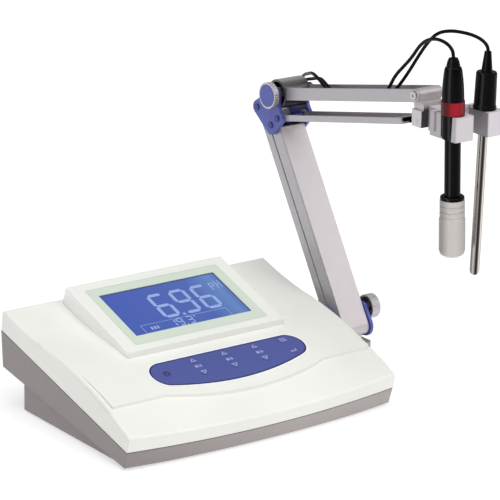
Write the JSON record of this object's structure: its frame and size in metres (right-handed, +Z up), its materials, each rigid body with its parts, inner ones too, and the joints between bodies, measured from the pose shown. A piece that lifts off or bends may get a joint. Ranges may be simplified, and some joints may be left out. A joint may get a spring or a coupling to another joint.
{
  "type": "ph meter",
  "caption": "Bench pH meter with a wedge casing, display, keypad, and a jointed side arm that holds a pH electrode in its storage bottle and a steel temperature probe.",
  "frame": {"origin": "Middle of the meter's footprint on the desk", "axes": "+X to the meter's right, where the arm stands; -Y towards the user; +Z up"},
  "size_m": [0.3556, 0.3553, 0.349],
  "materials": {
    "casing_white": "satin off-white ABS, fine texture",
    "casing_grey": "warm grey ABS, fine texture",
    "window_green": "pale green printed window frame, smooth",
    "lcd_blue": "backlit blue liquid crystal display",
    "keypad_film": "violet-blue printed film with a white edge",
    "arm_aluminium": "anodised, fine satin",
    "plate_blue": "violet-blue anodised plates",
    "blued_steel": "dark blued steel, satin",
    "bright_metal": "turned and knurled steel",
    "probe_steel": "polished stainless steel",
    "holder_plastic": "light lilac-grey moulding",
    "black_plastic": "soft gloss black",
    "lead_rubber": "satin black PVC",
    "foot_rubber": "matt black",
    "red_plastic": "soft gloss red",
    "bottle_pearl": "translucent pearly polyethylene",
    "bulb_glass": "thin clear glass",
    "board_green": "solder-masked circuit board"
  },
  "bodies": {
    "root": {"top_cover": "casing_white", "base_casing": "casing_grey", "display_bezel": "casing_white", "display_window": "window_green", "lcd_panel": "lcd_blue", "keypad_overlay": "keypad_film", "main_board": "board_green", "rear_sockets": "bright_metal", "rubber_feet": "foot_rubber", "housing_screws": "bright_metal", "base_bracket": "casing_grey", "electrode_plug": "bright_metal", "probe_plug": "black_plastic", "electrode_lead_rear": "lead_rubber", "probe_lead_rear": "lead_rubber"},
    "key_power": {"key_power": "keypad_film"},
    "key_up_1": {"key_up_1": "keypad_film"},
    "key_down_1": {"key_down_1": "keypad_film"},
    "key_up_2": {"key_up_2": "keypad_film"},
    "key_down_2": {"key_down_2": "keypad_film"},
    "key_up_3": {"key_up_3": "keypad_film"},
    "key_down_3": {"key_down_3": "keypad_film"},
    "key_function": {"key_function": "keypad_film"},
    "key_enter": {"key_enter": "keypad_film"},
    "swivel": {"swivel_head": "bright_metal", "lower_plates": "plate_blue", "lower_pins": "blued_steel", "electrode_lead_tail": "lead_rubber", "probe_lead_tail": "lead_rubber"},
    "lower_knob_turn": {"lower_knob": "bright_metal"},
    "rear_arm": {"rear_link": "arm_aluminium", "electrode_lead_fore": "lead_rubber", "probe_lead_fore": "lead_rubber"},
    "front_arm": {"front_link": "arm_aluminium", "front_link_cover": "arm_aluminium"},
    "elbow": {"elbow_plates": "plate_blue", "elbow_pins": "blued_steel", "electrode_lead_elbow": "lead_rubber", "probe_lead_elbow": "lead_rubber"},
    "elbow_knob_turn": {"elbow_knob": "bright_metal", "elbow_knob_cap": "plate_blue"},
    "top_arm": {"top_link": "arm_aluminium", "electrode_lead_top": "lead_rubber", "probe_lead_top": "lead_rubber"},
    "bottom_arm": {"bottom_link": "arm_aluminium", "link_plug": "black_plastic"},
    "head": {"head_block": "arm_aluminium", "head_pins": "bright_metal", "electrode_holder": "holder_plastic", "electrode_lead_arc": "lead_rubber", "probe_lead_arc": "lead_rubber"},
    "electrode": {"electrode_shaft": "black_plastic", "electrode_cap": "black_plastic", "red_ring": "red_plastic", "glass_bulb": "bulb_glass"},
    "bottle": {"bottle_seal": "black_plastic", "bottle_cap": "bottle_pearl", "storage_bottle": "bottle_pearl"},
    "probe": {"probe_handle": "black_plastic", "probe_rod": "probe_steel"}
  },
  "joints": [
    {"name": "key_power_press", "type": "slide", "parent": "root", "child": "key_power", "axis": [0, 0.27, -0.9629], "range_m": [0, 0.0004], "stiffness_N_per_m": 900, "springref_m": -0.0004},
    {"name": "key_up_1_press", "type": "slide", "parent": "root", "child": "key_up_1", "axis": [0, 0.2496, -0.9683], "range_m": [0, 0.0004], "stiffness_N_per_m": 900, "springref_m": -0.0004},
    {"name": "key_down_1_press", "type": "slide", "parent": "root", "child": "key_down_1", "axis": [0, 0.2882, -0.9576], "range_m": [0, 0.0004], "stiffness_N_per_m": 900, "springref_m": -0.0004},
    {"name": "key_up_2_press", "type": "slide", "parent": "root", "child": "key_up_2", "axis": [0, 0.2496, -0.9683], "range_m": [0, 0.0004], "stiffness_N_per_m": 900, "springref_m": -0.0004},
    {"name": "key_down_2_press", "type": "slide", "parent": "root", "child": "key_down_2", "axis": [0, 0.2882, -0.9576], "range_m": [0, 0.0004], "stiffness_N_per_m": 900, "springref_m": -0.0004},
    {"name": "key_up_3_press", "type": "slide", "parent": "root", "child": "key_up_3", "axis": [0, 0.2496, -0.9683], "range_m": [0, 0.0004], "stiffness_N_per_m": 900, "springref_m": -0.0004},
    {"name": "key_down_3_press", "type": "slide", "parent": "root", "child": "key_down_3", "axis": [0, 0.2882, -0.9576], "range_m": [0, 0.0004], "stiffness_N_per_m": 900, "springref_m": -0.0004},
    {"name": "key_function_press", "type": "slide", "parent": "root", "child": "key_function", "axis": [0, 0.2496, -0.9683], "range_m": [0, 0.0004], "stiffness_N_per_m": 900, "springref_m": -0.0004},
    {"name": "key_enter_press", "type": "slide", "parent": "root", "child": "key_enter", "axis": [0, 0.2865, -0.9581], "range_m": [0, 0.0004], "stiffness_N_per_m": 900, "springref_m": -0.0004},
    {"name": "swivel_turn", "type": "hinge", "parent": "root", "child": "swivel", "pos_m": [0.169, 0.011, 0], "axis": [0, 0, 1], "range_deg": [0, 30], "deforming": ["electrode_lead_rear", "probe_lead_rear"]},
    {"name": "lower_knob_spin", "type": "hinge", "parent": "swivel", "child": "lower_knob_turn", "pos_m": [0.169, -0.0045, 0.0601], "axis": [1, 0, 0], "range_deg": [-180, 180]},
    {"name": "rear_lean", "type": "hinge", "parent": "swivel", "child": "rear_arm", "pos_m": [0.169, 0.0125, 0.0574], "axis": [1, 0, 0], "range_deg": [0, 45], "deforming": ["electrode_lead_tail", "probe_lead_tail"]},
    {"name": "front_lean", "type": "hinge", "parent": "swivel", "child": "front_arm", "pos_m": [0.169, -0.0095, 0.0444], "axis": [1, 0, 0], "range_deg": [0, 45]},
    {"name": "elbow_level", "type": "hinge", "parent": "rear_arm", "child": "elbow", "pos_m": [0.169, 0.12053, 0.23163], "axis": [1, 0, 0], "range_deg": [-45, 0], "deforming": ["electrode_lead_fore", "probe_lead_fore"]},
    {"name": "elbow_knob_spin", "type": "hinge", "parent": "elbow", "child": "elbow_knob_turn", "pos_m": [0.169, 0.09443, 0.24923], "axis": [1, 0, 0], "range_deg": [-180, 180]},
    {"name": "top_tilt", "type": "hinge", "parent": "elbow", "child": "top_arm", "pos_m": [0.169, 0.09443, 0.24923], "axis": [1, 0, 0], "range_deg": [-38, 42], "deforming": ["electrode_lead_elbow", "probe_lead_elbow"]},
    {"name": "bottom_tilt", "type": "hinge", "parent": "elbow", "child": "bottom_arm", "pos_m": [0.169, 0.08853, 0.22723], "axis": [1, 0, 0], "range_deg": [-38, 42]},
    {"name": "head_level", "type": "hinge", "parent": "top_arm", "child": "head", "pos_m": [0.169, -0.10624, 0.29115], "axis": [1, 0, 0], "range_deg": [-42, 38], "deforming": ["electrode_lead_top", "probe_lead_top"]},
    {"name": "electrode_lift", "type": "slide", "parent": "head", "child": "electrode", "axis": [-0.0384, 0, 0.9993], "range_m": [0, 0.045], "deforming": ["electrode_lead_arc"]},
    {"name": "bottle_pull", "type": "slide", "parent": "electrode", "child": "bottle", "axis": [0.0384, 0, -0.9993], "range_m": [0, 0.045]},
    {"name": "probe_lift", "type": "slide", "parent": "head", "child": "probe", "axis": [0.0258, 0, 0.9997], "range_m": [0, 0.045], "deforming": ["probe_lead_arc"]}
  ],
  "couplings": [
    {"joint": "front_lean", "follows": "rear_lean", "ratio": 1},
    {"joint": "elbow_level", "follows": "rear_lean", "ratio": -1},
    {"joint": "bottom_tilt", "follows": "top_tilt", "ratio": 1},
    {"joint": "head_level", "follows": "top_tilt", "ratio": -1}
  ]
}
